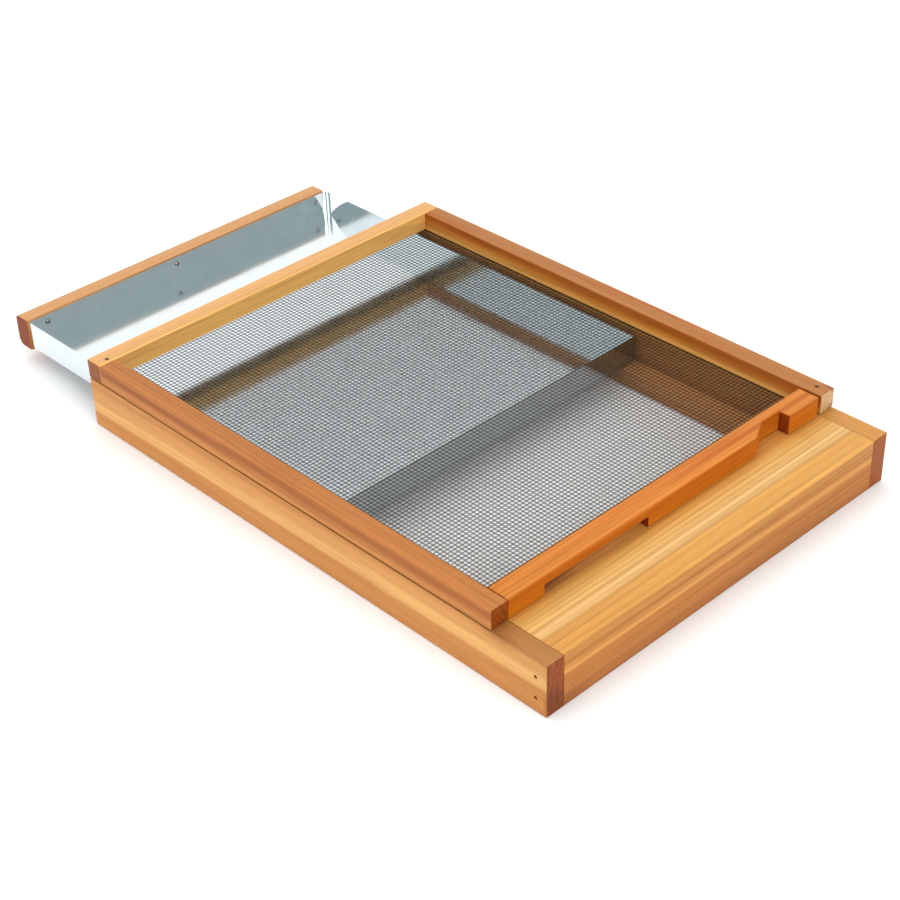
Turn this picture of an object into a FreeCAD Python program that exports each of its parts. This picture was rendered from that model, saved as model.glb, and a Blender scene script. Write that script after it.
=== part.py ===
"""Screened hive floor (bottom board) with a pull-out tray and an entrance reducer.

Millimetres, +X to the right, +Y to the rear, +Z up.  The origin is on the ground
plane, at the centre of the footprint with the tray pulled out to its rest position.
Every size comes from the spreadsheet below; places are expressions of its cells.
"""
import FreeCAD, Part
import Sketcher
import os
import re

DIMENSIONS = [
    ("frame_width", 413, "outer width over the rails, a ten-frame hive body"),
    ("frame_length", 561, "rail length: hive body plus landing strip"),
    ("rail_thickness", 18.5, "sawn thickness of the side rails"),
    ("rail_height", 49, "rail height, ground to screen"),
    ("strip_width", 18, "width of the two side strips"),
    ("strip_height", 18.3, "height of the strips above the screen"),
    ("rear_strip_depth", 18.5, "depth of the rear strip"),
    ("landing_depth", 56, "landing surface in front of the strips"),
    ("front_board_thickness", 22, "front board, front to back"),
    ("landing_board_depth", 74, "landing board behind the front board"),
    ("landing_board_thickness", 19, "landing board, top to bottom"),
    ("runner_width", 20, "width of the ledges that carry the tray"),
    ("runner_height", 17.2, "height of the ledges that carry the tray"),
    ("screen_pitch", 4, "wire spacing"),
    ("wire_thickness", 0.6, "thickness of one screen wire"),
    ("screen_side_margin", 2, "screen edge in from the rails' outer faces"),
    ("reducer_depth", 21, "entrance reducer, front to back"),
    ("reducer_setback", 0.5, "reducer front behind the strips' front ends"),
    ("reducer_left_gap", 0.5, "reducer end to the left strip"),
    ("reducer_right_gap", 3, "reducer end to the right strip"),
    ("notch_offset", 39.5, "both notches start this far from the reducer's ends"),
    ("wide_notch_width", 117, "wide bee entrance"),
    ("wide_notch_height", 10.5, "wide bee entrance"),
    ("small_notch_width", 22.5, "flat back of the notch in the reducer's front face"),
    ("small_notch_slant", 22, "slanted side of that notch, along the reducer"),
    ("small_notch_depth", 11.5, "depth of that notch"),
    ("tray_length", 430, "tray, front to back"),
    ("tray_height", 27, "height of the tray walls"),
    ("tray_sheet", 0.6, "thickness of the tray's sheet"),
    ("tray_left_gap", 2, "tray wall to the left rail"),
    ("tray_right_gap", 4, "tray wall to the right rail"),
    ("corner_cut_length", 28, "relief cut in the right wall's rear corner, along the wall"),
    ("corner_cut_foot", 3, "height of wall left under that cut"),
    ("tray_pulled_out", 148, "how far the tray stands out at rest"),
    ("handle_depth", 19, "handle bar, front to back"),
    ("handle_height", 31.5, "handle bar height"),
    ("handle_drop", 2.7, "how far the handle hangs below the tray"),
    ("handle_end_gap", 0.8, "closed handle to the rear ends of the ledges"),
    ("handle_left_gap", 0.5, "handle end to the left rail"),
    ("handle_right_gap", 8.5, "handle end to the right rail"),
    ("handle_top_round", 4.5, "rounded top rear edge"),
    ("handle_low_round", 7, "rounded lower rear edge"),
    ("slide_gap", 0.3, "running gap under the tray and the reducer"),
    ("nail_radius", 1, "shank of the nails"),
    ("nail_head_radius", 1.6, "head of the nails"),
    ("nail_head_height", 0.8, "head of the nails"),
    ("nail_set", 1.4, "how deep the nail heads are punched in"),
    ("nail_length", 40, "nails through the rails and strips"),
    ("runner_nail_length", 30, "nails through the runners"),
    ("front_nail_low", 13, "lower nail through the rail's front end"),
    ("front_nail_high", 33, "upper nail through the rail's front end"),
    ("nail_fit", 0.05, "drilled wall around nails, screws and staples"),
    ("strip_nail_front", 12, "first strip nail behind the strip's front end"),
    ("screw_radius", 1.5, "shank of the handle screws"),
    ("screw_length", 15, "shank of the handle screws"),
    ("screw_head_radius", 2.9, "round head of the handle screws"),
    ("screw_head_height", 2, "round head of the handle screws"),
    ("screw_height", 19.5, "screws above the tray's underside"),
    ("screw_left_inset", 21.4, "left screw in from the handle's end"),
    ("screw_right_inset", 10.8, "right screw in from the handle's end"),
    ("staple_wire", 0.8, "staple wire thickness"),
    ("staple_leg", 8, "staple leg length"),
]
SIDES = ("left", "right")
STAPLES_PER_EDGE = 5
STAPLE_SPAN = 3                     # screen openings between a staple's legs
NAIL_SLOT = 2                       # screen openings from the edge to a strip nail
RUNNER_NAIL_SHARES = (0.1, 0.5, 0.9)
MIDDLE_SCREW_SHARE = 0.475

Vector = FreeCAD.Vector
doc = FreeCAD.newDocument("hive_floor")
sheet = doc.addObject("Spreadsheet::Sheet", "dims")
for row, (alias, size, note) in enumerate(DIMENSIONS, start=1):
    sheet.set(f"A{row}", alias)
    sheet.set(f"B{row}", str(size))
    sheet.set(f"C{row}", note)
    sheet.setAlias(f"B{row}", alias)
doc.recompute()
ALIASES = {alias for alias, _, _ in DIMENSIONS}


# ---------------------------------------------------------------- expressions
def cells(text):
    """Write an expression of the sheet's aliases as FreeCAD wants it."""
    def prefix(match):
        word = match.group()
        return f"dims.{word}" if word in ALIASES else word
    return re.sub(r"[a-z_]+", prefix, text)


def number(text):
    """The present value of an expression of the sheet's aliases."""
    return float(sheet.evalExpression(cells(text)))


def bind(item, field, text):
    item.setExpression(field, cells(text))


def place(item, x, y, z):
    """Put an item at x, y, z, counted from the front left corner on the ground."""
    bind(item, "Placement.Base.x", f"{x} - frame_width / 2")
    bind(item, "Placement.Base.y", f"{y} - (frame_length + tray_pulled_out) / 2")
    bind(item, "Placement.Base.z", z)


# ------------------------------------------------------------ Part primitives
def box(name, size, corner):
    item = doc.addObject("Part::Box", name)
    for field, text in zip(("Length", "Width", "Height"), size):
        bind(item, field, text)
    place(item, *corner)
    return item


def rod(name, radius, length, start, direction):
    item = doc.addObject("Part::Cylinder", name)
    bind(item, "Radius", radius)
    bind(item, "Height", length)
    turn = FreeCAD.Rotation(Vector(0, 0, 1), Vector(*direction))
    item.Placement = FreeCAD.Placement(Vector(), turn)
    place(item, *start)
    return item


def join(name, members):
    item = doc.addObject("Part::MultiFuse", name)
    item.Shapes = members
    return item


def cut(name, base, tools):
    item = doc.addObject("Part::Cut", name)
    item.Base = base
    item.Tool = tools[0] if len(tools) == 1 else join(f"{name}_tools", tools)
    return item


# ------------------------------------------------------------- PartDesign help
def sketch_on(body, name, role, lift="0"):
    """A sketch on one of the body's own origin planes, lifted along its normal."""
    sketch = body.newObject("Sketcher::SketchObject", name)
    plane = next(item for item in body.Origin.OriginFeatures if item.Role == role)
    sketch.AttachmentSupport = [(plane, "")]
    sketch.MapMode = "FlatFace"
    if lift != "0":
        bind(sketch, "AttachmentOffset.Base.z", lift)
    return sketch


def pin_to(sketch, line, axis, text):
    """Fix one coordinate of a line's start point to an expression."""
    if text == "0":
        axis_line = -2 if axis == "X" else -1
        sketch.addConstraint(Sketcher.Constraint("PointOnObject", line, 1, axis_line))
        return
    rule = Sketcher.Constraint(f"Distance{axis}", -1, 1, line, 1, number(text))
    index = sketch.addConstraint(rule)
    bind(sketch, f"Constraints[{index}]", text)


def outline(sketch, corners):
    """A closed outline of straight edges through corners given as expressions."""
    points = [Vector(number(x), number(y), 0) for x, y in corners]
    count = len(points)
    for here in range(count):
        sketch.addGeometry(Part.LineSegment(points[here], points[(here + 1) % count]))
    for here in range(count):
        joint = Sketcher.Constraint("Coincident", here, 2, (here + 1) % count, 1)
        sketch.addConstraint(joint)
    for here, (x, y) in enumerate(corners):
        pin_to(sketch, here, "X", x)
        pin_to(sketch, here, "Y", y)


def rectangle(sketch, x, y, width, depth):
    far_x = f"{x} + {width}" if x != "0" else width
    far_y = f"{y} + {depth}" if y != "0" else depth
    outline(sketch, [(x, y), (far_x, y), (far_x, far_y), (x, far_y)])


def pad(body, sketch, length, backwards=False):
    item = body.newObject("PartDesign::Pad", f"{sketch.Name}_pad")
    item.Profile = sketch
    item.Reversed = backwards
    bind(item, "Length", length)
    doc.recompute()
    return item


def pocket(body, sketch, depth, backwards=False):
    """Cut a pocket, and make sure that it does take material away."""
    before = body.Shape.Volume
    item = body.newObject("PartDesign::Pocket", f"{sketch.Name}_pocket")
    item.Profile = sketch
    item.Reversed = backwards
    bind(item, "Length", depth)
    doc.recompute()
    if body.Shape.Volume >= before:
        raise RuntimeError(f"{item.Name} cuts nothing")
    return item


def new_body(name, x, y, z):
    body = doc.addObject("PartDesign::Body", name)
    place(body, x, y, z)
    return body


# -------------------------------------------------------------- shared places
INNER_WIDTH = "(frame_width - 2 * rail_thickness)"
SCREEN_LEVEL = "rail_height"
STRIP_LEVEL = "(rail_height + 2 * wire_thickness)"
TOP_LEVEL = "(rail_height + 2 * wire_thickness + strip_height)"
REAR_STRIP_FRONT = "(frame_length - rear_strip_depth)"
LANDING_BACK = "(front_board_thickness + landing_board_depth)"
REDUCER_LENGTH = "(frame_width - 2 * strip_width - reducer_left_gap - reducer_right_gap)"
TRAY_LEVEL = "(runner_height + slide_gap)"
TRAY_WIDTH = f"({INNER_WIDTH} - tray_left_gap - tray_right_gap)"
HANDLE_LENGTH = f"({INNER_WIDTH} - handle_left_gap - handle_right_gap)"
HANDLE_FRONT = "(frame_length + tray_pulled_out - handle_depth)"
HANDLE_LEFT = "(rail_thickness + handle_left_gap)"

SCREEN_FRONT = "(landing_depth + reducer_setback + reducer_depth)"
SCREEN_WIDTH = "(frame_width - 2 * screen_side_margin)"
SCREEN_LENGTH = f"(frame_length - screen_side_margin - {SCREEN_FRONT})"
SLOT = "(screen_pitch - wire_thickness)"
SLOTS_ACROSS = f"floor(({SCREEN_WIDTH} - wire_thickness) / screen_pitch)"
SLOTS_ALONG = f"floor(({SCREEN_LENGTH} - wire_thickness) / screen_pitch)"


def slot_x(index):
    """Middle of a screen opening, counted from the left."""
    return f"(screen_side_margin + ({index}) * screen_pitch + (screen_pitch + wire_thickness) / 2)"


def slot_y(index):
    """Middle of a screen opening, counted from the front."""
    return f"({SCREEN_FRONT} + ({index}) * screen_pitch + (screen_pitch + wire_thickness) / 2)"


# ------------------------------------------------------------------- fasteners
def shifted(start, direction, distance):
    """A place moved along an axis direction by an expression."""
    return tuple(
        f"{text} + {distance}" if way > 0 else f"{text} - {distance}" if way < 0 else text
        for text, way in zip(start, direction)
    )


def nails(name, starts, direction, length):
    """Nails punched below the surface, and the drilled holes that they sit in."""
    pins = []
    holes = []
    for index, start in enumerate(starts):
        tag = f"{name}_{index}"
        seat = shifted(start, direction, "nail_set")
        pins.append(rod(f"{tag}_shank", "nail_radius", length, seat, direction))
        pins.append(rod(f"{tag}_head", "nail_head_radius", "nail_head_height", seat, direction))
        reach = f"nail_set + {length} + nail_fit"
        holes.append(rod(f"{tag}_hole", "nail_radius + nail_fit", reach, start, direction))
        recess = "nail_set + nail_head_height + nail_fit"
        holes.append(rod(f"{tag}_recess", "nail_head_radius + nail_fit", recess, start, direction))
    join(name, pins)
    return join(f"{name}_holes", holes)


def staples(name, row, crown_level, leg_level):
    """Wire staples across the screen, and the slots that their legs sit in."""
    wires = []
    holes = []
    y = f"{slot_y(row)} - staple_wire / 2"
    for index in range(1, STAPLES_PER_EDGE + 1):
        tag = f"{name}_{index}"
        first = f"floor({SLOTS_ACROSS} * {index} / {STAPLES_PER_EDGE + 1})"
        left = f"{slot_x(first)} - staple_wire / 2"
        crown = (f"{STAPLE_SPAN} * screen_pitch + staple_wire", "staple_wire", "staple_wire")
        wires.append(box(f"{tag}_crown", crown, (left, y, crown_level)))
        for side, shift in enumerate((0, STAPLE_SPAN)):
            x = f"{left} + {shift} * screen_pitch"
            leg = ("staple_wire", "staple_wire", "staple_leg")
            wires.append(box(f"{tag}_leg_{side}", leg, (x, y, leg_level)))
            wide = "staple_wire + 2 * nail_fit"
            hole = (wide, wide, "staple_leg + 2 * nail_fit")
            corner = (f"{x} - nail_fit", f"{y} - nail_fit", f"{leg_level} - nail_fit")
            holes.append(box(f"{tag}_slot_{side}", hole, corner))
    join(name, wires)
    return join(f"{name}_slots", holes)


# ----------------------------------------------------------------- side frames
RAIL_X = {"left": "0", "right": "frame_width - rail_thickness"}
OUTER_X = {"left": "0", "right": "frame_width"}
STRIP_X = {"left": "0", "right": "frame_width - strip_width"}
RUNNER_X = {"left": "rail_thickness", "right": "frame_width - rail_thickness - runner_width"}
RUNNER_FACE_X = {
    "left": "rail_thickness + runner_width",
    "right": "frame_width - rail_thickness - runner_width",
}
INWARD = {"left": (1, 0, 0), "right": (-1, 0, 0)}
OUTWARD = {"left": (-1, 0, 0), "right": (1, 0, 0)}
DOWN = (0, 0, -1)
NAIL_X = {"left": slot_x(NAIL_SLOT), "right": slot_x(f"{SLOTS_ACROSS} - {NAIL_SLOT}")}
RUNNER_LENGTH = "(frame_length - front_board_thickness - handle_depth - handle_end_gap)"

rail_holes = {}
runner_holes = {}
strip_holes = {}
for side in SIDES:
    front_nails = [
        (OUTER_X[side], "front_board_thickness / 2", "front_nail_low"),
        (OUTER_X[side], "front_board_thickness / 2", "front_nail_high"),
    ]
    rail_holes[side] = nails(f"{side}_rail_nails", front_nails, INWARD[side], "nail_length")
    along_runner = [
        (RUNNER_FACE_X[side], f"front_board_thickness + {RUNNER_LENGTH} * {share}", "runner_height / 2")
        for share in RUNNER_NAIL_SHARES
    ]
    runner_holes[side] = nails(
        f"{side}_runner_nails", along_runner, OUTWARD[side], "runner_nail_length")
    along_strip = [
        (NAIL_X[side], "landing_depth + strip_nail_front", TOP_LEVEL),
        (NAIL_X[side], slot_y(f"floor({SLOTS_ALONG} / 2)"), TOP_LEVEL),
        (NAIL_X[side], slot_y(f"{SLOTS_ALONG} - 8"), TOP_LEVEL),
    ]
    strip_holes[side] = nails(f"{side}_strip_nails", along_strip, DOWN, "nail_length")

rear_nails = [(NAIL_X[side], slot_y(f"{SLOTS_ALONG} - 3"), TOP_LEVEL) for side in SIDES]
rear_holes = nails("rear_strip_nails", rear_nails, DOWN, "nail_length")
front_slots = staples(
    "screen_front_staples", "3", STRIP_LEVEL, f"{STRIP_LEVEL} - staple_leg")
rear_slots = staples(
    "screen_rear_staples", f"{SLOTS_ALONG} - 1", "rail_height - staple_wire", "rail_height")

for side in SIDES:
    rail = box(f"{side}_rail_board", ("rail_thickness", "frame_length", "rail_height"),
               (RAIL_X[side], "0", "0"))
    cut(f"{side}_rail", rail,
        [rail_holes[side], runner_holes[side], strip_holes[side], rear_holes])
    runner = box(f"{side}_runner_board", ("runner_width", RUNNER_LENGTH, "runner_height"),
                 (RUNNER_X[side], "front_board_thickness", "0"))
    cut(f"{side}_runner", runner, [runner_holes[side]])
    strip_length = f"{REAR_STRIP_FRONT} - landing_depth"
    strip = box(f"{side}_strip_board", ("strip_width", strip_length, "strip_height"),
                (STRIP_X[side], "landing_depth", STRIP_LEVEL))
    cut(f"{side}_top_strip", strip, [strip_holes[side]])

rear_strip = box("rear_strip_board", ("frame_width", "rear_strip_depth", "strip_height"),
                 ("0", REAR_STRIP_FRONT, STRIP_LEVEL))
cut("rear_top_strip", rear_strip, [rear_holes, rear_slots])

# ---------------------------------------------------------------- front boards
front = box("front_board_blank", (INNER_WIDTH, "front_board_thickness", "rail_height"),
            ("rail_thickness", "0", "0"))
cut("front_board", front, [rail_holes["left"], rail_holes["right"]])
landing = box("landing_board_blank", (INNER_WIDTH, "landing_board_depth", "landing_board_thickness"),
              ("rail_thickness", "front_board_thickness", "rail_height - landing_board_thickness"))
cut("landing_board", landing, [front_slots])


# ---------------------------------------------------------------------- screen
def screen_layer(name, level, slot_size, first_slot, role, count):
    """One layer of parallel wires, joined past the openings at their ends."""
    body = new_body(name, "screen_side_margin", SCREEN_FRONT, level)
    sheet_outline = sketch_on(body, f"{name}_sheet", "XY_Plane")
    rectangle(sheet_outline, "0", "0", SCREEN_WIDTH, SCREEN_LENGTH)
    pad(body, sheet_outline, "wire_thickness")
    slot_outline = sketch_on(body, f"{name}_slot", "XY_Plane")
    rectangle(slot_outline, *first_slot, *slot_size)
    slot = pocket(body, slot_outline, "wire_thickness", backwards=True)
    pattern = body.newObject("PartDesign::LinearPattern", f"{name}_pattern")
    pattern.Originals = [slot]
    axis = next(item for item in body.Origin.OriginFeatures if item.Role == role)
    pattern.Direction = (axis, [""])
    bind(pattern, "Length", f"screen_pitch * ({count} - 1)")
    bind(pattern, "Occurrences", count)
    body.Tip = pattern
    return body


screen_layer(
    "screen_long_wires", SCREEN_LEVEL, (SLOT, f"{SCREEN_LENGTH} - 2 * wire_thickness"),
    ("wire_thickness", "wire_thickness"), "X_Axis", SLOTS_ACROSS)
screen_layer(
    "screen_cross_wires", f"{SCREEN_LEVEL} + wire_thickness",
    (f"{SCREEN_WIDTH} - 2 * wire_thickness", SLOT),
    ("wire_thickness", "wire_thickness"), "Y_Axis", SLOTS_ALONG)

# ------------------------------------------------------------ entrance reducer
reducer_height = f"({TOP_LEVEL} - rail_height - slide_gap)"
reducer = new_body("entrance_reducer", "strip_width + reducer_left_gap",
                   "landing_depth + reducer_setback", "rail_height + slide_gap")
notch_end = "notch_offset + wide_notch_width"
notch_top = "wide_notch_height - slide_gap"
face = sketch_on(reducer, "reducer_face", "XZ_Plane")
outline(face, [
    ("0", "0"), ("notch_offset", "0"), ("notch_offset", notch_top), (notch_end, notch_top),
    (notch_end, "0"), (REDUCER_LENGTH, "0"), (REDUCER_LENGTH, reducer_height),
    ("0", reducer_height),
])
pad(reducer, face, "reducer_depth", backwards=True)
notch_right = f"{REDUCER_LENGTH} - notch_offset"
notch_left = f"{notch_right} - small_notch_width"
notch_plan = sketch_on(reducer, "small_notch", "XY_Plane")
outline(notch_plan, [
    (f"{notch_left} - small_notch_slant", "0"), (notch_right, "0"),
    (notch_right, "small_notch_depth"), (notch_left, "small_notch_depth"),
])
pocket(reducer, notch_plan, reducer_height, backwards=True)

# ------------------------------------------------------------------------ tray
TRAY_FRONT = f"({HANDLE_FRONT} - tray_length)"
pan = new_body("tray_pan_sheet", "rail_thickness + tray_left_gap", TRAY_FRONT, TRAY_LEVEL)
pan_outline = sketch_on(pan, "pan_outline", "XY_Plane")
rectangle(pan_outline, "0", "0", TRAY_WIDTH, "tray_length")
pad(pan, pan_outline, "tray_height")
pan_inside = sketch_on(pan, "pan_inside", "XY_Plane", lift="tray_height")
rectangle(pan_inside, "tray_sheet", "tray_sheet", f"{TRAY_WIDTH} - 2 * tray_sheet",
          "tray_length - 2 * tray_sheet")
pocket(pan, pan_inside, "tray_height - tray_sheet")
wall_end = "tray_length - tray_sheet"
corner_cut = sketch_on(pan, "corner_cut", "YZ_Plane", lift=TRAY_WIDTH)
outline(corner_cut, [
    (wall_end, "corner_cut_foot"), (wall_end, "tray_height"),
    (f"{wall_end} - corner_cut_length", "tray_height"),
])
pocket(pan, corner_cut, "tray_sheet")

handle = new_body("tray_handle_bar", HANDLE_LEFT, HANDLE_FRONT, f"{TRAY_LEVEL} - handle_drop")
bar_outline = sketch_on(handle, "bar_outline", "YZ_Plane")
rectangle(bar_outline, "0", "0", "handle_depth", "handle_height")
bar = pad(handle, bar_outline, HANDLE_LENGTH)


def long_edge(feature, y, z):
    """The name of the bar's long edge at one corner of its section."""
    for index, edge in enumerate(feature.Shape.Edges, start=1):
        middle = edge.CenterOfMass
        if abs(middle.y - y) < 0.01 and abs(middle.z - z) < 0.01:
            return f"Edge{index}"
    raise RuntimeError("the bar has no such edge")


def round_edge(base, name, z, radius):
    """Round the rear long edge of the handle bar at height z."""
    item = handle.newObject("PartDesign::Fillet", name)
    item.Base = (base, [long_edge(base, number("handle_depth"), z)])
    bind(item, "Radius", radius)
    doc.recompute()
    return item


top_round = round_edge(bar, "handle_top", number("handle_height"), "handle_top_round")
round_edge(top_round, "handle_bottom", 0, "handle_low_round")

SCREW_WALL = f"({HANDLE_FRONT} - tray_sheet)"
SCREW_X = [
    f"{HANDLE_LEFT} + screw_left_inset",
    f"{HANDLE_LEFT} + {HANDLE_LENGTH} * {MIDDLE_SCREW_SHARE}",
    f"{HANDLE_LEFT} + {HANDLE_LENGTH} - screw_right_inset",
]
screws = []
screw_holes = []
for index, x in enumerate(SCREW_X):
    start = (x, SCREW_WALL, f"{TRAY_LEVEL} + screw_height")
    screws.append(rod(f"screw_{index}_shank", "screw_radius", "screw_length", start, (0, 1, 0)))
    cap = rod(f"screw_{index}_cap", "screw_head_radius", "screw_head_height", start, (0, -1, 0))
    screws.append(cap)
    screw_holes.append(rod(f"screw_{index}_hole", "screw_radius + nail_fit",
                           "screw_length + nail_fit", start, (0, 1, 0)))
join("tray_handle_screws", screws)
holes = join("tray_screw_holes", screw_holes)
cut("tray_pan", pan, [holes])
cut("tray_handle", handle, [holes])

# ------------------------------------------------------------ checks and files
NODES = [f"{side}_{piece}" for side in SIDES for piece in (
    "rail", "runner", "top_strip", "rail_nails", "runner_nails", "strip_nails")]
NODES += [
    "rear_top_strip", "rear_strip_nails", "front_board", "landing_board",
    "screen_long_wires", "screen_cross_wires", "screen_front_staples", "screen_rear_staples",
    "entrance_reducer", "tray_pan", "tray_handle", "tray_handle_screws",
]

doc.recompute()
for item in doc.Objects:
    if "Invalid" in item.State or "Error" in item.State:
        raise RuntimeError(f"{item.Name} failed: {item.State}")
os.makedirs("parts", exist_ok=True)
for name in NODES:
    item = doc.getObject(name)
    if item.Shape.isNull() or not item.Shape.isValid():
        raise RuntimeError(f"{name} has no valid shape")
for name in NODES:
    item = doc.getObject(name)
    item.Label = name
    item.Shape.exportStep(f"parts/{name}.step")
    size = item.Shape.BoundBox
    print(f"{name}: {len(item.Shape.Solids)} solids, {item.Shape.Volume:.0f} mm3, "
          f"{size.XLength:.1f} x {size.YLength:.1f} x {size.ZLength:.1f}")
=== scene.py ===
"""Screened beehive floor: wooden frame, woven wire screen, galvanised tray, reducer.

Metres, in the CAD's frame: +X to the right, +Y from the entrance to the tray's
handle, +Z up.  Places inside the materials are in mm.  Wooden pieces keep the CAD's
shape with eased edges.  The screen, the tray and its screws are remodelled in detail.
"""
import math
import random

import bmesh
import bpy
from mathutils import Matrix, Vector


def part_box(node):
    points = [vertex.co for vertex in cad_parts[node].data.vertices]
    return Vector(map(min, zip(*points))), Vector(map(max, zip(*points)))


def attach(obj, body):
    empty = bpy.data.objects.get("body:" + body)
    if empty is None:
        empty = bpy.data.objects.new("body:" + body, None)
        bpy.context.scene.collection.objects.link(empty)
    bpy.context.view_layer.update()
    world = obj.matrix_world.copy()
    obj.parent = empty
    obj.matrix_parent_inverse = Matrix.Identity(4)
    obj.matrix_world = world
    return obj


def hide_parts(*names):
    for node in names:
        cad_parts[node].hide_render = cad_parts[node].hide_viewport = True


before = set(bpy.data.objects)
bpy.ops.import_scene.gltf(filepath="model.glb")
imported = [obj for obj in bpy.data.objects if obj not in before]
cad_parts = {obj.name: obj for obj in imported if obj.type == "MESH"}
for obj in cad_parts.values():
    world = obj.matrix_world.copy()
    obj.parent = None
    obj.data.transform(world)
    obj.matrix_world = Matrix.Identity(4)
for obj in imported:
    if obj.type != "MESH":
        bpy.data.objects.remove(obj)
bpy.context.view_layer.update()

MM = 0.001
TO_MM = (1000, 1000, 1000)          # from the shader's metres to mm
AXES = {"X": 0, "Y": 1, "Z": 2}
rng = random.Random(7)


# ------------------------------------------------------------------ mesh helpers
SHARP_ANGLE = math.radians(60)      # edges that turn more than this are eased
SHORTEST_EDGE = 4 * MM              # shorter ones, such as a nail hole's, are left
FLAT_ANGLE = math.radians(1)        # faces that turn less than this are one face
SAME_PLACE = 0.001 * MM             # vertices closer than this are one vertex
SMOOTH_DEGREES = 50
BOX_FACES = ((0, 1, 3, 2), (4, 6, 7, 5), (0, 4, 5, 1), (2, 3, 7, 6), (0, 2, 6, 4), (1, 5, 7, 3))


def new_object(name, mesh, body, nodes, material):
    """A finished piece: it rides on a body, stands for CAD nodes and has a material."""
    piece = bpy.data.objects.new(name, mesh)
    bpy.context.scene.collection.objects.link(piece)
    mesh.materials.clear()
    mesh.materials.append(material)
    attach(piece, body)
    if nodes:
        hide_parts(*nodes)
    return piece


def mesh_of(bm, name):
    """The mesh that a bmesh holds, smooth and with its faces outward."""
    mesh = bpy.data.meshes.new(name)
    bmesh.ops.recalc_face_normals(bm, faces=bm.faces)
    bm.to_mesh(mesh)
    bm.free()
    smooth_faces(mesh)
    return mesh


def smooth_faces(mesh):
    mesh.polygons.foreach_set("use_smooth", [True] * len(mesh.polygons))


def weighted_normals(mesh, degrees):
    """Corner normals that lean to the larger faces, so that flat faces stay flat."""
    limit = math.cos(math.radians(degrees))
    around = [[] for _ in mesh.vertices]
    for face in mesh.polygons:
        for index in face.vertices:
            around[index].append(face)
    normals = []
    for face in mesh.polygons:
        for index in face.vertices:
            total = Vector()
            for other in around[index]:
                if face.normal.dot(other.normal) > limit:
                    total += other.normal * other.area
            normals.append(total.normalized() if total.length else face.normal.copy())
    mesh.normals_split_custom_set(normals)


def ease_edges(bm, ease, skip):
    """Round the long sharp edges, apart from those for which skip is true."""
    edges = [
        edge for edge in bm.edges
        if len(edge.link_faces) == 2
        and edge.calc_length() > SHORTEST_EDGE
        and edge.calc_face_angle(0) > SHARP_ANGLE
        and not skip(edge)
    ]
    bmesh.ops.bevel(
        bm, geom=edges, offset=ease, segments=3, profile=0.5, affect="EDGES",
        clamp_overlap=True)


def no_edge(edge):
    return False


def wooden_piece(bm, node, body, material):
    """The finished piece that stands for a wooden CAD node."""
    name = f"{node}_planed"
    piece = new_object(name, mesh_of(bm, name), body, [node], material)
    weighted_normals(piece.data, SMOOTH_DEGREES)


def eased(node, body, material, ease=0.7 * MM, skip=no_edge):
    """The CAD piece with its long sharp edges eased, as planed wood has them."""
    bm = bmesh.new()
    bm.from_mesh(bpy.data.objects[node].data)
    bmesh.ops.remove_doubles(bm, verts=bm.verts, dist=SAME_PLACE)
    bmesh.ops.dissolve_limit(bm, angle_limit=FLAT_ANGLE, verts=bm.verts, edges=bm.edges)
    ease_edges(bm, ease, skip)
    bmesh.ops.triangulate(bm, faces=bm.faces)
    wooden_piece(bm, node, body, material)


def plank(node, body, material, ease=0.9 * MM):
    """A plain board the size of the CAD piece, its nail holes filled and planed over."""
    low, high = (Vector(corner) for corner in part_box(node))
    bm = bmesh.new()
    corners = [bm.verts.new((x, y, z)) for x in (low.x, high.x) for y in (low.y, high.y)
               for z in (low.z, high.z)]
    for face in BOX_FACES:
        bm.faces.new([corners[index] for index in face])
    bmesh.ops.recalc_face_normals(bm, faces=bm.faces)
    ease_edges(bm, ease, no_edge)
    wooden_piece(bm, node, body, material)


def circle(bm, count, place):
    """A closed ring of vertices; place gives the point at each angle."""
    return [bm.verts.new(place(math.tau * step / count)) for step in range(count)]


def bridge(bm, lower, upper):
    """A band of faces between two closed rings with the same number of vertices."""
    for here in range(len(lower)):
        there = (here + 1) % len(lower)
        bm.faces.new((lower[here], lower[there], upper[there], upper[here]))


# -------------------------------------------------------------- material helpers
def linear(red, green, blue):
    """A colour given as 0-255 display values, as the shader wants it."""
    def channel(value):
        value /= 255
        return value / 12.92 if value <= 0.04045 else ((value + 0.055) / 1.055) ** 2.4
    return (channel(red), channel(green), channel(blue), 1)


def tinted(shade, tint):
    """A display colour with each channel multiplied by its own share."""
    return [channel * share for channel, share in zip(linear(*shade), tint)] + [1]


def scaled_shade(shade, share):
    """A display colour made darker or lighter, in display values."""
    return linear(*(min(255, value * share) for value in shade))


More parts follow.
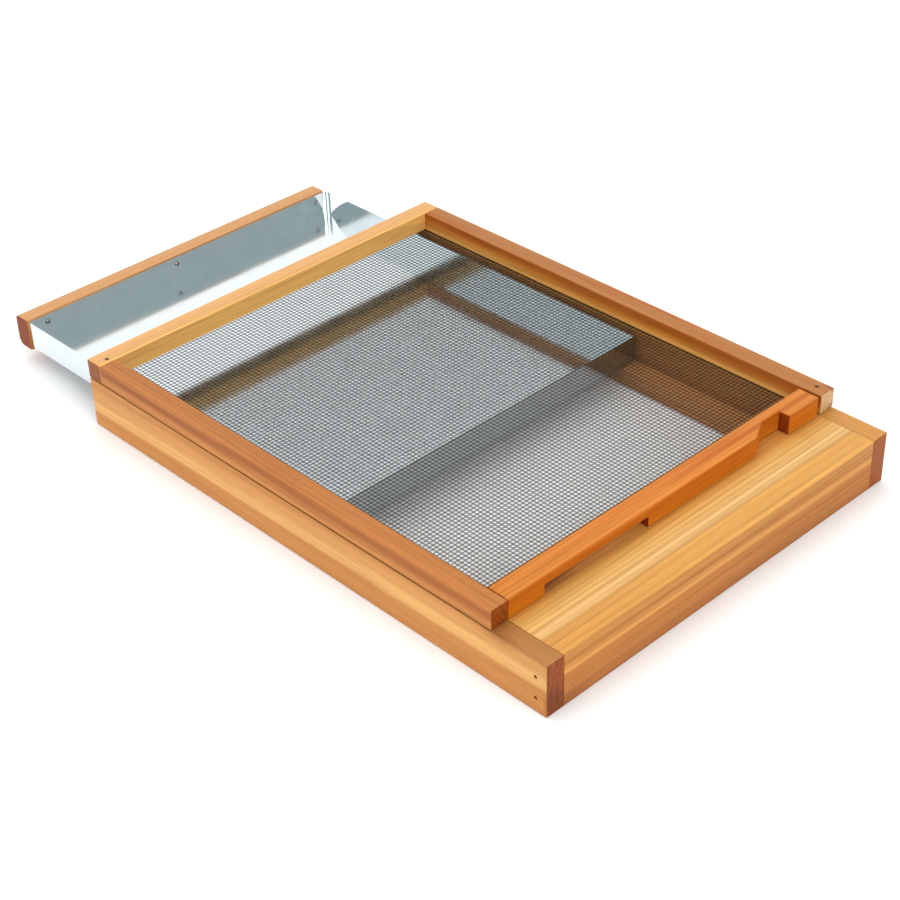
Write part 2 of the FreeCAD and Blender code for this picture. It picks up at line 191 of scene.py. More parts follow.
class Graph:
    """A material's nodes, with short calls for the few kinds that are used here."""

    def __init__(self, name):
        self.material = bpy.data.materials.new(name)
        self.material.use_nodes = True
        self.tree = self.material.node_tree
        self.shader = self.tree.nodes["Principled BSDF"]

    def node(self, kind, inputs=(), **settings):
        item = self.tree.nodes.new(f"ShaderNode{kind}")
        for field, value in settings.items():
            setattr(item, field, value)
        for key, value in dict(inputs).items():
            self.feed(item.inputs[key], value)
        return item

    def feed(self, socket, value):
        if isinstance(value, bpy.types.NodeSocket):
            self.tree.links.new(value, socket)
        else:
            socket.default_value = value

    def finish(self, **inputs):
        """Set the shader's inputs, named with _ for a space, and give the material."""
        for name, value in inputs.items():
            self.feed(self.shader.inputs[name.replace("_", " ")], value)
        return self.material

    def math(self, operation, first, second=0.0, clamp=False):
        item = self.node("Math", {0: first, 1: second}, operation=operation, use_clamp=clamp)
        return item.outputs[0]

    def vector(self, operation, first, second):
        return self.node("VectorMath", {0: first, 1: second}, operation=operation).outputs[0]

    def length(self, vector):
        return self.node("VectorMath", {0: vector}, operation="LENGTH").outputs["Value"]

    def mix(self, share, first, second, blend="MIX"):
        item = self.node("Mix", data_type="RGBA", blend_type=blend)
        self.feed(item.inputs[0], share)
        self.feed(item.inputs[6], first)
        self.feed(item.inputs[7], second)
        return item.outputs[2]

    def lit(self, colour, light):
        """A colour multiplied by a plain value."""
        grey = self.node("CombineColor", {0: light, 1: light, 2: light}).outputs[0]
        return self.mix(1.0, colour, grey, blend="MULTIPLY")

    def ramp(self, value, stops):
        item = self.node("ValToRGB", {0: value})
        ramp = item.color_ramp
        while len(ramp.elements) < len(stops):
            ramp.elements.new(0.5)
        for element, (place, colour) in zip(ramp.elements, stops):
            element.position = place
            element.color = colour
        return item.outputs[0]

    def grey_ramp(self, value, stops):
        return self.ramp(value, [(place, (share, share, share, 1)) for place, share in stops])

    def bands(self, value, stops):
        """A ramp whose stops stand at true values, in rising order."""
        low, high = stops[0][0], stops[-1][0]
        share = self.math("DIVIDE", self.math("SUBTRACT", value, low), high - low, clamp=True)
        return self.ramp(share, [((at - low) / (high - low), colour) for at, colour in stops])

    def noise(self, vector, scale, detail=2.0, roughness=0.5):
        item = self.node("TexNoise", {
            "Vector": vector, "Scale": scale, "Detail": detail, "Roughness": roughness})
        return item.outputs["Fac"]

    def centred(self, value, amount):
        """A 0-1 value turned into one between -amount and +amount."""
        return self.math("MULTIPLY", self.math("SUBTRACT", value, 0.5), 2 * amount)

    def toned(self, colour, parts, tones_and_shade):
        """The colour darkened along axes: (axis, stops), with (place, share) stops."""
        for axis, stops in tones_and_shade:
            grey = self.bands(parts[AXES[axis]], [
                (place, (share, share, share, 1)) for place, share in stops])
            colour = self.mix(1.0, colour, grey, blend="MULTIPLY")
        return colour


# -------------------------------------------------------------------------- wood
SEED_STEPS = (37.0, 91.0, 13.0)     # mm between one board's noise and the next one's
WOOD_SPECULAR = 0.18


class Grain(Graph):
    """A wooden material's nodes and the noises that its parts share.

    place: the point in mm, and parts: its three coordinates.
    across, third: the two axes that the grain does not run along.
    """

    def __init__(self, name, along, across, seed):
        super().__init__(name)
        self.along = AXES[along]
        self.across = AXES[across]
        self.third = 3 - self.along - self.across
        coords = self.node("TexCoord").outputs
        self.normal = coords["Normal"]
        self.place = self.vector("MULTIPLY", coords["Object"], TO_MM)
        self.parts = self.node("SeparateXYZ", {0: self.place}).outputs
        self.shifted = self.vector("ADD", self.place, tuple(seed * step for step in SEED_STEPS))
        self.slow = self.stretched(17, 250)
        self.medium = self.stretched(3.3, 60, detail=3.0)
        self.streaks = self.stretched(2.6, 220, detail=3.0, roughness=0.6)
        self.fibre = self.stretched(0.45, 33, detail=4.0, roughness=0.7)
        self.flecks = self.stretched(1.1, 17)

    def stretched(self, side, length, detail=2.0, roughness=0.5):
        """Noise with patches of one size across the grain and another along it, in mm."""
        scale = [1 / side, 1 / side, 1 / side]
        scale[self.along] = 1 / length
        stretched = self.vector("MULTIPLY", self.shifted, tuple(scale))
        return self.noise(stretched, 1.0, detail, roughness)

    def stripes(self, bands, tint, warp, lean):
        """The board's broad stripes, which wander by a few mm."""
        wander = self.centred(self.slow, warp * 2.0)
        distance = self.math("ADD", self.parts[self.across], wander)
        distance = self.math("ADD", distance, self.centred(self.medium, warp * 0.5))
        if lean:
            climb = self.math("MULTIPLY", self.parts[self.along], lean)
            distance = self.math("ADD", distance, climb)
        return self.bands(distance, [(place, tinted(shade, tint)) for place, shade in bands])

    def rings(self, heart, ring, warp):
        """Growth rings round the heart: 0 in pale early wood and 1 in dark late wood."""
        side_a = self.math("SUBTRACT", self.parts[self.across], heart[0])
        side_b = self.math("SUBTRACT", self.parts[self.third], heart[1])
        radius = self.math("SQRT", self.math(
            "ADD", self.math("MULTIPLY", side_a, side_a), self.math("MULTIPLY", side_b, side_b)))
        radius = self.math("ADD", radius, self.centred(self.slow, warp * 4.0))
        radius = self.math("ADD", radius, self.centred(self.medium, warp * 0.4))
        phase = self.math("FRACT", self.math("DIVIDE", radius, ring))
        return self.grey_ramp(phase, [(0.0, 0), (0.45, 0.12), (0.82, 1), (0.93, 0.7), (1.0, 0)])

    def light(self, streak):
        """Fibres, flecks and long streaks, as a brightness round 1."""
        light = self.math("ADD", 1.0, self.centred(self.fibre, 0.16))
        light = self.math("ADD", light, self.centred(self.flecks, 0.10))
        return self.math("ADD", light, self.centred(self.streaks, streak * 2))

    def end_grain(self, colour, end, line):
        """The colour with the board's two ends in darker, porous wood."""
        normal = self.node("SeparateXYZ", {0: self.normal}).outputs[self.along]
        endness = self.grey_ramp(self.math("ABSOLUTE", normal), [(0.6, 0), (0.9, 1)])
        pores = self.noise(self.vector("MULTIPLY", self.shifted, (0.3, 0.3, 0.3)), 1.0,
                           detail=4.0, roughness=0.7)
        end_colour = self.mix(pores, scaled_shade(end, 0.8), scaled_shade(end, 1.3))
        end_colour = self.mix(self.math("MULTIPLY", line, 0.5), end_colour,
                              scaled_shade(end, 0.62))
        return self.mix(endness, colour, end_colour)

    def stained_and_shaded(self, colour, spots_and_shadows):
        """The colour with soft dark patches, browner where they are darker: knots, smudges and
        painted shadows.
        """
        for centre, radii, share in spots_and_shadows:
            offset = self.vector("SUBTRACT", self.place, centre)
            offset = self.vector("MULTIPLY", offset, tuple(1 / radius for radius in radii))
            reach = self.math("ADD", self.length(offset), self.centred(self.medium, 0.35))
            dark = (1 - 0.8 * share, 1 - share, 1 - 1.1 * share, 1)
            stain_and_shade = self.bands(reach, [(0.2, dark), (1.0, (1, 1, 1, 1))])
            colour = self.mix(1.0, colour, stain_and_shade, blend="MULTIPLY")
        return colour


def wood(name, along, across, bands, seed, tint=(1, 1, 1), pith=(60, 60), ring=3.2,
         contrast=0.3, late=(150, 78, 30), end=(150, 84, 40), roughness=0.42, warp=1.5,
         streak=0.10, lean=0.0, tones_and_shade=(), spots_and_shadows=()):
    """Waxed softwood, sawn along one axis.  Every place and distance is in mm.

    bands: colours at places on the across axis, the board's broad stripes.
    tint: the wax's share of red, green and blue.
    pith: how far the tree's heart lies before the first band, and before zero on the
        third axis.
    ring, contrast, late: the growth rings' spacing, strength and dark colour.
    end: the end grain's colour.
    warp: how far stripes and rings wander.
    lean: how much the stripes climb for each mm along the board.
    tones_and_shade: (axis, stops) that darken the board along an axis, as (place, share) stops;
    some follow the grain, some are painted shade.
    spots_and_shadows: (centre, radii, share) of dark smudges and knots, and of painted shadows.
    """
    grain = Grain(name, along, across, seed)
    colour = grain.stripes(bands, tint, warp, lean)
    colour = grain.toned(colour, grain.parts, tones_and_shade)
    line = grain.rings((bands[0][0] - pith[0], -pith[1]), ring, warp)
    line_share = grain.math("MULTIPLY", line, grain.math("MULTIPLY", grain.medium, 2 * contrast))
    colour = grain.mix(line_share, colour, tinted(late, tint))
    colour = grain.lit(colour, grain.light(streak))
    colour = grain.end_grain(colour, end, line)
    colour = grain.stained_and_shaded(colour, spots_and_shadows)

    relief = grain.math("ADD", grain.math("MULTIPLY", grain.fibre, 0.7),
                        grain.math("MULTIPLY", line, -0.35))
    bump = grain.node("Bump", {"Height": relief, "Strength": 0.25, "Distance": 0.25 * MM})
    return grain.finish(
        Base_Color=colour, Normal=bump.outputs[0], Specular_IOR_Level=WOOD_SPECULAR,
        Roughness=grain.math("ADD", roughness, grain.centred(grain.fibre, 0.12)))


# ------------------------------------------------------------------------- metal
def metal(name, colour, roughness, spangle=0.0, grain_scale=0.15, tones_and_shade=()):
    """Zinc-coated steel: faint crystals in its brightness, faint clouds in its gloss.

    tones_and_shade: as for wood, painted shade that darkens parts of the sheet.
    """
    graph = Graph(name)
    place = graph.vector("MULTIPLY", graph.node("TexCoord").outputs["Object"], TO_MM)
    crystals = graph.node("TexVoronoi", {"Vector": place, "Scale": grain_scale}, feature="F1")
    cloud = graph.noise(place, 0.03, detail=3.0)
    tone = graph.math("ADD", 1.0, graph.centred(crystals.outputs["Color"], spangle))
    tone = graph.math("ADD", tone, graph.centred(cloud, spangle))
    shade = graph.lit(linear(*colour), tone)
    shade = graph.toned(shade, graph.node("SeparateXYZ", {0: place}).outputs, tones_and_shade)
    return graph.finish(
        Base_Color=shade, Metallic=1.0,
        Roughness=graph.math("ADD", roughness, graph.centred(cloud, 0.05)))


# --------------------------------------------------------------- places on the part
FLOOR_X, FLOOR_Y, _ = (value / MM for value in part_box("left_rail")[0])
TRAY_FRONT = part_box("tray_pan")[0][1] / MM


def from_front(*bands):
    """Colours at distances from the frame's front."""
    return [(FLOOR_Y + distance, colour) for distance, colour in bands]


def at(x, y, z):
    """A place counted from the frame's front left corner on the ground."""
    return (FLOOR_X + x, FLOOR_Y + y, z)


# ---------------------------------------------------------------- the part's woods
left_rail_wood = wood(
    "left_rail_wood", "Y", "Z",
    [(-7, (214, 144, 80)), (6, (216, 150, 86)), (17, (212, 146, 82)), (20.5, (240, 184, 120)),
     (27, (244, 190, 126)), (32, (226, 166, 102)), (40, (222, 158, 96)), (46, (206, 140, 80)),
     (53, (214, 150, 88))],
    seed=1, tint=(0.90, 0.85, 0.68), pith=(20, -330), ring=6.0, contrast=0.15, end=(132, 62, 2),
    lean=0.02, warp=1.8,
    tones_and_shade=[("Y", [(FLOOR_Y, 0.9), (FLOOR_Y + 60, 0.96), (FLOOR_Y + 330, 1.0)]),
           # The rail's top millimetre and top face are darkened to 0.7: painted shade of the
           # joint under the strip.
           ("Z", [(47.8, 1.0), (48.8, 0.7)])],
    spots_and_shadows=[(at(0, 50, 47), (12, 26, 7), 0.3), (at(18, 545, 47), (30, 30, 5), 0.15),
           (at(7, 0, 10), (16, 5, 20), 0.4)])
right_rail_wood = wood(
    "right_rail_wood", "Y", "Z",
    [(0, (205, 142, 78)), (25, (225, 165, 98)), (44, (214, 150, 84)), (49, (226, 165, 93))],
    seed=2, tint=(0.77, 0.71, 0.56), pith=(-90, 90), ring=4.0, contrast=0.2, end=(146, 72, 6),
    # The rail's inner face is darkened to 0.85: painted shade.
    tones_and_shade=[("X", [(FLOOR_X + 395, 0.85), (FLOOR_X + 396.5, 1.0)])])
runner_wood = wood(
    "runner_wood", "Y", "Z", [(0, (206, 150, 92)), (19, (214, 158, 100))],
    seed=3, tint=(0.8, 0.7, 0.55))
left_strip_wood = wood(
    "left_strip_wood", "Y", "Z",
    [(50, (222, 156, 96)), (57, (208, 140, 80)), (62, (180, 108, 50)), (66, (184, 114, 58)),
     (68.5, (206, 138, 82))],
    seed=4, tint=(0.80, 0.69, 0.46), pith=(-160, -60), ring=4.2, contrast=0.26,
    end=(134, 62, 16),
    tones_and_shade=[("X", [(FLOOR_X, 1.0), (FLOOR_X + 5, 0.97), (FLOOR_X + 10, 0.88), (FLOOR_X + 14, 0.94),
                  (FLOOR_X + 18, 0.97)])])
right_strip_wood = wood(
    "right_strip_wood", "Y", "Z",
    [(50, (234, 172, 96)), (54, (228, 162, 78)), (58, (204, 124, 44)), (64, (179, 92, 22)),
     (67.6, (176, 96, 34)), (68.4, (177, 114, 57))],
    seed=5, pith=(-120, 500), ring=3.6, contrast=0.24, late=(130, 62, 20), end=(214, 164, 120),
    tones_and_shade=[("X", [(FLOOR_X + 395, 1.0), (FLOOR_X + 403, 0.92), (FLOOR_X + 413, 1.0)])],
    spots_and_shadows=[(at(413, 58, 68), (5, 9, 5), 0.55), (at(411, 56, 52), (9, 6, 5), 0.5)])
rear_strip_wood = wood(
    "rear_strip_wood", "X", "Y",
    # The band at 542.5 to 543.6 mm, the inner face, is the wood's colour made lighter: partly
    # painted light.
    from_front((542.5, (245, 185, 102)), (543.6, (245, 185, 102)), (545, (216, 162, 98)),
               (553, (223, 169, 106)), (561, (223, 169, 106))),
    seed=6, pith=(80, -40), ring=4.0, contrast=0.22, late=(140, 70, 26), end=(140, 76, 34))
front_board_wood = wood(
    "front_board_wood", "X", "Z",
    [(0, (188, 120, 66)), (14, (202, 134, 76)), (26, (196, 128, 68)), (28.5, (212, 144, 80)),
     (31, (238, 174, 108)), (34, (226, 162, 96)), (38, (190, 124, 62)), (41, (206, 142, 78)),
     (47, (214, 152, 88)), (49, (230, 176, 110))],
    seed=7, tint=(0.82, 0.74, 0.46), pith=(-400, 30), ring=5.0, contrast=0.24, warp=0.9,
    streak=0.16, lean=0.006, spots_and_shadows=[(at(24, 0, 3), (26, 12, 12), 0.3)])
landing_wood = wood(
    "landing_wood", "X", "Y",
    from_front((22, (224, 174, 110)), (26, (230, 182, 116)), (30, (250, 202, 136)),
               (33, (226, 176, 108)), (36, (240, 190, 118)), (46, (232, 178, 100)),
               (51, (236, 176, 94)), (56, (226, 156, 78)), (96, (206, 140, 70))),
    seed=8, tint=(0.82, 0.80, 0.72), pith=(-300, -70), ring=5.2, contrast=0.22, warp=0.9,
    # The two spots are painted shadow of the reducer's left foot, on the landing inside the wide
    # notch.
    streak=0.16, spots_and_shadows=[(at(64, 68, 49), (60, 13, 6), 0.5), (at(66, 66, 49), (32, 11, 6), 0.45)])
reducer_wood = wood(
    "reducer_wood", "X", "Z",
    [(49, (214, 124, 42)), (56, (206, 112, 32)), (64, (202, 104, 30)), (67.5, (198, 104, 44)),
     (68.5, (213, 126, 66))],
    seed=9, tint=(0.92, 0.96, 0.42), pith=(-40, -60), ring=4.5, contrast=0.34, streak=0.2,
    late=(176, 80, 26), end=(130, 54, 12),
    tones_and_shade=[("Y", [(FLOOR_Y + 56.5, 1.0), (FLOOR_Y + 62, 0.97), (FLOOR_Y + 66, 0.86),
                  (FLOOR_Y + 70, 1.0), (FLOOR_Y + 77.5, 0.97)])])
handle_wood = wood(
    "handle_wood", "X", "Z",
    [(15, (206, 130, 70)), (34, (214, 142, 84)), (46.3, (232, 178, 122))],
    seed=10, tint=(0.76, 0.69, 0.60), pith=(-60, -60), ring=4.0, contrast=0.18,
    end=(130, 55, 2), spots_and_shadows=[(at(176, 708, 45), (9, 5, 5), 0.5)])

# --------------------------------------------------------------- the part's metals
wire_metal = metal("wire_metal", (72, 68, 62), 0.55, spangle=0.08)
tray_metal = metal(
    "tray_metal", (228, 236, 238), 0.13, spangle=0.02, grain_scale=0.08,
    # The front wall's outer face is darkened to half: painted shade.
    tones_and_shade=[("Y", [(TRAY_FRONT, 0.5), (TRAY_FRONT + 0.25, 0.5), (TRAY_FRONT + 0.45, 1.0)])])
zinc_metal = metal("zinc_metal", (140, 142, 142), 0.3, spangle=0.03)
fastener_metal = metal("fastener_metal", (120, 112, 104), 0.45, spangle=0.08)
hole_dark = Graph("hole_dark").finish(Base_Color=linear(84, 46, 22), Roughness=0.8)

# ------------------------------------------------------------------ wooden pieces
JOINT_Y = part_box("front_board")[1][1]
JOINT_REACH = 0.1 * MM
REDUCER_EASE = 1.1 * MM             # its edges are rounder than the frame's


def at_front_board(edge):
    """Edges where the landing board and the ledges butt against the front board."""
    return all(abs(vertex.co.y - JOINT_Y) < JOINT_REACH for vertex in edge.verts)


eased("left_rail", "frame", left_rail_wood)
eased("right_rail", "frame", right_rail_wood)
eased("left_runner", "frame", runner_wood, skip=at_front_board)
eased("right_runner", "frame", runner_wood, skip=at_front_board)
plank("left_top_strip", "frame", left_strip_wood)
plank("right_top_strip", "frame", right_strip_wood)
plank("rear_top_strip", "frame", rear_strip_wood)
eased("front_board", "frame", front_board_wood, skip=at_front_board)
eased("landing_board", "frame", landing_wood, skip=at_front_board)
eased("entrance_reducer", "reducer", reducer_wood, ease=REDUCER_EASE)
eased("tray_handle", "tray", handle_wood)

for node in ("left_rail_nails", "right_rail_nails", "left_runner_nails", "right_runner_nails",
             "left_strip_nails", "right_strip_nails", "rear_strip_nails",
             "screen_front_staples", "screen_rear_staples"):
    data = bpy.data.objects[node].data
    data.materials.clear()
    data.materials.append(fastener_metal)


# ------------------------------------------------------------------------ screen
SCREEN_LOW = Vector(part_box("screen_long_wires")[0])
SCREEN_HIGH = Vector(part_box("screen_cross_wires")[1])
PITCH = 4.0 * MM
WIRE_RADIUS = 0.33 * MM
WIRE_SIDES = 6
WIRE_DRIFT = 0.1 * MM               # how far a wire may lie off its place
WEAVE_PRESS = 0.98                  # crossing wires lie this close, as a share of touching


def woven_wires(name, along, across, phase):
    """Parallel wires that pass over and under the crossing ones in turn.

    along, across: the axis that the wires run along and the one they are spaced on.
    phase: 0 or 1, whether the first wire starts under or over.
    """
    middle = (SCREEN_LOW.z + SCREEN_HIGH.z) / 2
    margin = WIRE_RADIUS
    wires = int((SCREEN_HIGH[across] - SCREEN_LOW[across] - 2 * margin) / PITCH) + 1
    crossings = int((SCREEN_HIGH[along] - SCREEN_LOW[along] - 2 * margin) / PITCH) + 1
    points = []
    faces = []
    for wire in range(wires):
        side = SCREEN_LOW[across] + margin + wire * PITCH
        drift = rng.uniform(-WIRE_DRIFT, WIRE_DRIFT)
        for step in range(crossings):
            over = 1 if (wire + step + phase) % 2 else -1
            centre = Vector((0, 0, middle + over * WIRE_RADIUS * WEAVE_PRESS))
            centre[along] = SCREEN_LOW[along] + margin + step * PITCH
            centre[across] = side + drift
            for spoke in range(WIRE_SIDES):
                angle = math.tau * spoke / WIRE_SIDES
                point = centre.copy()
                point[across] += WIRE_RADIUS * math.cos(angle)
                point.z += WIRE_RADIUS * math.sin(angle)
                points.append(point)
            if step:
                here = len(points) - WIRE_SIDES
                for spoke in range(WIRE_SIDES):
                    turn = (spoke + 1) % WIRE_SIDES
                    faces.append((here + spoke, here + turn,
                                  here + turn - WIRE_SIDES, here + spoke - WIRE_SIDES))
    mesh = bpy.data.meshes.new(name)
    mesh.from_pydata(points, [], faces)
    smooth_faces(mesh)
    return mesh


new_object("screen_long_woven", woven_wires("screen_long_woven", AXES["Y"], AXES["X"], 0),
           "frame", ["screen_long_wires"], wire_metal)
new_object("screen_cross_woven", woven_wires("screen_cross_woven", AXES["X"], AXES["Y"], 1),
           "frame", ["screen_cross_wires"], wire_metal)

# -------------------------------------------------------------------------- tray
TRAY_LOW = Vector(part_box("tray_pan")[0])
TRAY_HIGH = Vector(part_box("tray_pan")[1])
SHEET = 0.6 * MM
RIM = 1.8 * MM                      # the floor stands this much above the walls' lower edge
EAR = 6.0 * MM                      # radius of the ear that closes the rear right corner
EAR_STEPS = 9
EAR_TAIL = 1.0 * MM                 # the ear's straight end on the right wall
EAR_SLIT = 1.0 * MM                 # gap between the ear and the right wall's cut end
CUT_LENGTH = 28 * MM                # the right wall's top slopes down over this length
CUT_FOOT = 5 * MM                   # and ends this high
CUT_BULGE = 1.6 * MM                # the slope is a slightly crowned curve
CUT_STEPS = 5
TRAY_SMOOTH_DEGREES = 18


def tray_profile(height):
    """One wall's section, from under the floor round the wall to the floor's top."""
    return [
        (5 * SHEET, RIM), (4 * SHEET, 0.5 * SHEET), (2.5 * SHEET, 0), (0.8 * SHEET, 0),
        (0, 0.8 * SHEET), (0, height - 0.5 * SHEET), (SHEET * 0.3, height),
        (SHEET * 0.9, height), (SHEET * 1.2, height - 0.5 * SHEET),
        (SHEET * 1.2, RIM + SHEET),
    ]


def tray_path():
    """The wall in plan from the rear right ear round to the right wall's cut end.

    Each point has its place, the inward direction and the wall's height there.
    """
    full = TRAY_HIGH.z - TRAY_LOW.z
    left, front = TRAY_LOW.x, TRAY_LOW.y
    right, rear = TRAY_HIGH.x, TRAY_HIGH.y
    path = [(right, rear - EAR - EAR_TAIL, -1, 0, full)]
    for step in range(EAR_STEPS + 1):
        angle = math.radians(90 * step / EAR_STEPS)
        path.append((right - EAR + EAR * math.cos(angle), rear - EAR + EAR * math.sin(angle),
                     -math.cos(angle), -math.sin(angle), full))
    path += [(left, rear, 1, -1, full), (left, front, 1, 1, full), (right, front, -1, 1, full)]
    cut_end = rear - EAR - EAR_TAIL - EAR_SLIT
    for step in range(CUT_STEPS + 1):
        share = step / CUT_STEPS
        bulge = CUT_BULGE * math.sin(math.pi * share)
        path.append((right, cut_end - CUT_LENGTH * (1 - share), -1, 0,
                     full - (full - CUT_FOOT) * share + bulge))
    return path


def tray_mesh():
    """The wall's section swept along its path, with the floor's two faces and the ends."""
    bm = bmesh.new()
    rings = []
    for x, y, way_x, way_y, height in tray_path():
        rings.append([
            bm.verts.new((x + way_x * inset, y + way_y * inset, TRAY_LOW.z + min(up, height)))
            for inset, up in tray_profile(height)])
    for here, there in zip(rings, rings[1:]):
        for low in range(len(here) - 1):
            bm.faces.new((here[low], there[low], there[low + 1], here[low + 1]))
    bm.faces.new([ring[0] for ring in rings])
    bm.faces.new([ring[-1] for ring in rings])
    bm.faces.new(rings[0])
    bm.faces.new(rings[-1])
    bm.faces.new((rings[0][0], rings[-1][0], rings[-1][-1], rings[0][-1]))
    return mesh_of(bm, "tray_pan_folded")


tray = new_object("tray_pan_folded", tray_mesh(), "tray", ["tray_pan"], tray_metal)
weighted_normals(tray.data, TRAY_SMOOTH_DEGREES)

# ------------------------------------------------------------------ handle screws
HEAD_HEIGHT = 2.0 * MM
HEAD_SPOKES = 24
RECESS_RADIUS = 1.0 * MM
RECESS_FLOOR_RADIUS = 0.7 * MM
CROSS_ARM = 1.35                    # the recess's reach along a cross's arm
CROSS_GAP = 0.5                     # and between two arms
SHANK_RADIUS = 1.5 * MM
SHANK_SPOKES = 16
MIDDLE_SCREW_SHARE = 0.475          # place of the middle screw along the handle


def head_outline(radius):
    """A round head's rings from its rim to the recess's floor: radius and height."""
    dome = [(radius * math.cos(math.radians(turn)), HEAD_HEIGHT * math.sin(math.radians(turn)))
            for turn in range(0, 90, 12)]
    return dome + [(RECESS_RADIUS, HEAD_HEIGHT * 0.99), (RECESS_FLOOR_RADIUS, HEAD_HEIGHT * 0.55)]


def screw(bm, x, level, wall, end, radius):
    """A screw along +Y: its head stands on the wall and its shank ends in the handle."""
    rings = []
    for out, up in head_outline(radius):
        ring = []
        for spoke in range(HEAD_SPOKES):
            angle = math.tau * spoke / HEAD_SPOKES
            reach = out
            if out <= RECESS_RADIUS:
                reach = out * (CROSS_ARM if spoke % 6 in (0, 1) else CROSS_GAP)
            ring.append(bm.verts.new((x + reach * math.cos(angle), wall - up,
                                      level + reach * math.sin(angle))))
        rings.append(ring)
    for lower, upper in zip(rings, rings[1:]):
        bridge(bm, lower, upper)
    bm.faces.new(rings[-1])
    shank = [
        circle(bm, SHANK_SPOKES, lambda angle: (
            x + SHANK_RADIUS * math.cos(angle), y, level + SHANK_RADIUS * math.sin(angle)))
        for y in (wall, end)]
    bridge(bm, *shank)
    bm.faces.new(shank[1])
    bm.faces.new(rings[0][::-1])


def handle_screws():
    """Round-head screws with a cross recess, and their plain shanks."""
    low, high = (Vector(corner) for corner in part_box("tray_handle_screws"))
    handle_low, handle_high = (Vector(corner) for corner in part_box("tray_handle"))
    radius = (high.z - low.z) / 2
    level = (high.z + low.z) / 2
    middle = handle_low.x + MIDDLE_SCREW_SHARE * (handle_high.x - handle_low.x)
    bm = bmesh.new()
    for x in (low.x + radius, middle, high.x - radius):
        screw(bm, x, level, low.y + HEAD_HEIGHT, high.y, radius)
    return mesh_of(bm, "tray_handle_screws_round")


screws = new_object("tray_handle_screws_round", handle_screws(), "tray", ["tray_handle_screws"],
                    zinc_metal)
weighted_normals(screws.data, SMOOTH_DEGREES)

# ------------------------------------------------------------------ nail marks
MARK_RINGS = ((2.0, 0.0), (1.5, 0.05), (0.9, 0.03))     # radius and height, in mm
MARK_SPOKES = 20
NAIL_REACH = 6 * MM                 # vertices closer than this belong to one nail
NAIL_COLUMN = 20 * MM              # the nails are taken column by column, this wide


def nail_heads(node):
    """Centres of a row of upright nails, front to back and left to right."""
    data = bpy.data.objects[node].data
    groups = []
    for vertex in sorted(data.vertices, key=lambda v: (round(v.co.x / NAIL_COLUMN), v.co.y)):
        for group in groups:
            if (group[0].xy - vertex.co.xy).length < NAIL_REACH:
                group.append(vertex.co.copy())
                break
        else:
            groups.append([vertex.co.copy()])
    return [((min(p.x for p in g) + max(p.x for p in g)) / 2,
             (min(p.y for p in g) + max(p.y for p in g)) / 2) for g in groups]


def nail_marks(name, places, level):
    """Dark spots over the nails that show on the strips' tops."""
    bm = bmesh.new()
    for x, y in places:
        loops = [
            circle(bm, MARK_SPOKES, lambda angle: (
                x + radius * MM * math.cos(angle), y + radius * MM * math.sin(angle),
                level + lift * MM))
            for radius, lift in MARK_RINGS]
        for outer, inner in zip(loops, loops[1:]):
            bridge(bm, outer, inner)
        bm.faces.new(loops[-1])
    new_object(name, mesh_of(bm, name), "frame", [], hole_dark)


front_nail = min(nail_heads("right_strip_nails"), key=lambda place: place[1])
left_nail = min(nail_heads("rear_strip_nails"))
nail_marks("strip_nail_marks", [front_nail, left_nail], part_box("left_top_strip")[1][2])

# --------------------------------------------------------- floor, light and camera
FLOOR_SIZE = 60
FLOOR_GAP = 0.5 * MM                # the floor lies just under the rails
BRIGHT_WAY = (0.25, 0.93, 0.27)     # the studio is brightest on this side
WALLS = [(0.0, (0.32, 0.36, 0.37, 1)), (0.40, (0.36, 0.40, 0.41, 1)),
         (0.60, (0.62, 0.64, 0.64, 1)), (0.76, (1, 1, 1, 1))]
WORLD_STRENGTH = 1.2
SOFTBOXES = (                       # name, place, size in metres, power in watts
    ("left", (-2.2, 0.1, 1.5), 1.5, 12),
    ("front", (-0.5, -2.4, 1.9), 1.8, 48),
    ("top", (0.2, 0.6, 2.6), 1.6, 12),
)
CAMERA_PLACE = (-0.9542, -1.0635, 0.9494)
CLIP_START = 0.05
AZIMUTH, ELEVATION, ROLL = 42.979, 34.586, -1.953     # degrees
LENS = 76.07                        # mm, as is the sensor
SENSOR = 36


def pale_floor():
    bpy.ops.mesh.primitive_plane_add(size=FLOOR_SIZE, location=(0, 0, -FLOOR_GAP))
    floor = bpy.context.object
    floor.name = "floor"
    floor.data.materials.append(
        Graph("floor_paint").finish(Base_Color=(0.95, 0.95, 0.95, 1), Roughness=0.9))


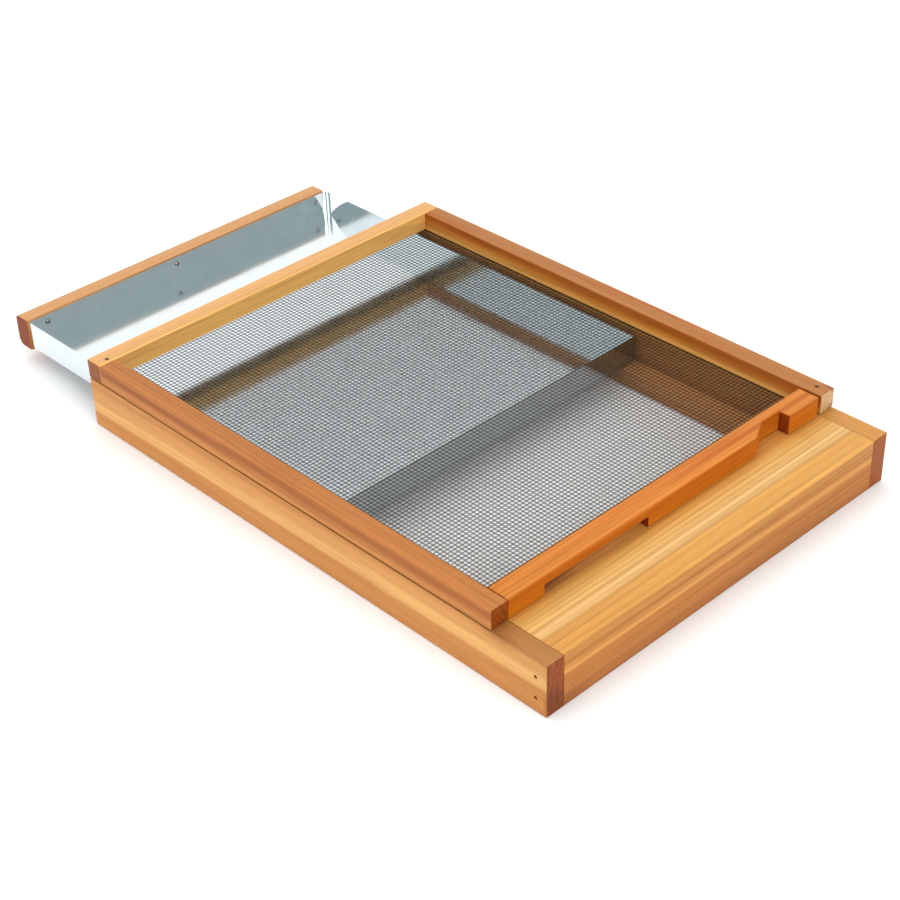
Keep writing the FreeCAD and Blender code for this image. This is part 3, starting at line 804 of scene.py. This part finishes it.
def studio_walls():
    """A world that fades from grey walls to a white one."""
    world = bpy.data.worlds.new("studio")
    world.use_nodes = True
    sky = world.node_tree
    ways = sky.nodes.new("ShaderNodeTexCoord")
    toward = sky.nodes.new("ShaderNodeVectorMath")
    toward.operation = "DOT_PRODUCT"
    toward.inputs[1].default_value = BRIGHT_WAY
    sky.links.new(ways.outputs["Generated"], toward.inputs[0])
    spread = sky.nodes.new("ShaderNodeMapRange")
    spread.inputs["From Min"].default_value = -1
    sky.links.new(toward.outputs["Value"], spread.inputs["Value"])
    walls = sky.nodes.new("ShaderNodeValToRGB")
    while len(walls.color_ramp.elements) < len(WALLS):
        walls.color_ramp.elements.new(0.5)
    for stop, (share, shade) in zip(walls.color_ramp.elements, WALLS):
        stop.position = share
        stop.color = shade
    sky.links.new(spread.outputs["Result"], walls.inputs["Fac"])
    sky.links.new(walls.outputs["Color"], sky.nodes["Background"].inputs["Color"])
    sky.nodes["Background"].inputs["Strength"].default_value = WORLD_STRENGTH
    bpy.context.scene.world = world


def softbox(name, place, size, power):
    """A square light that points at the middle of the part's footprint."""
    data = bpy.data.lights.new(name, "AREA")
    data.shape = "SQUARE"
    data.size = size
    data.energy = power
    lamp = bpy.data.objects.new(name, data)
    lamp.location = place
    lamp.rotation_euler = (-Vector(place)).to_track_quat("-Z", "Y").to_euler()
    bpy.context.scene.collection.objects.link(lamp)


def add_camera():
    data = bpy.data.cameras.new("camera")
    data.sensor_width = SENSOR
    data.lens = LENS
    data.clip_start = CLIP_START
    camera = bpy.data.objects.new("camera", data)
    camera.matrix_world = (
        Matrix.Translation(CAMERA_PLACE)
        @ Matrix.Rotation(math.radians(-AZIMUTH), 4, "Z")
        @ Matrix.Rotation(math.radians(90 - ELEVATION), 4, "X")
        @ Matrix.Rotation(math.radians(ROLL), 4, "Z"))
    bpy.context.scene.collection.objects.link(camera)
    bpy.context.scene.camera = camera


pale_floor()
studio_walls()
for box in SOFTBOXES:
    softbox(*box)
add_camera()
bpy.context.scene.view_settings.view_transform = "Standard"
bpy.context.scene.view_settings.look = "None"
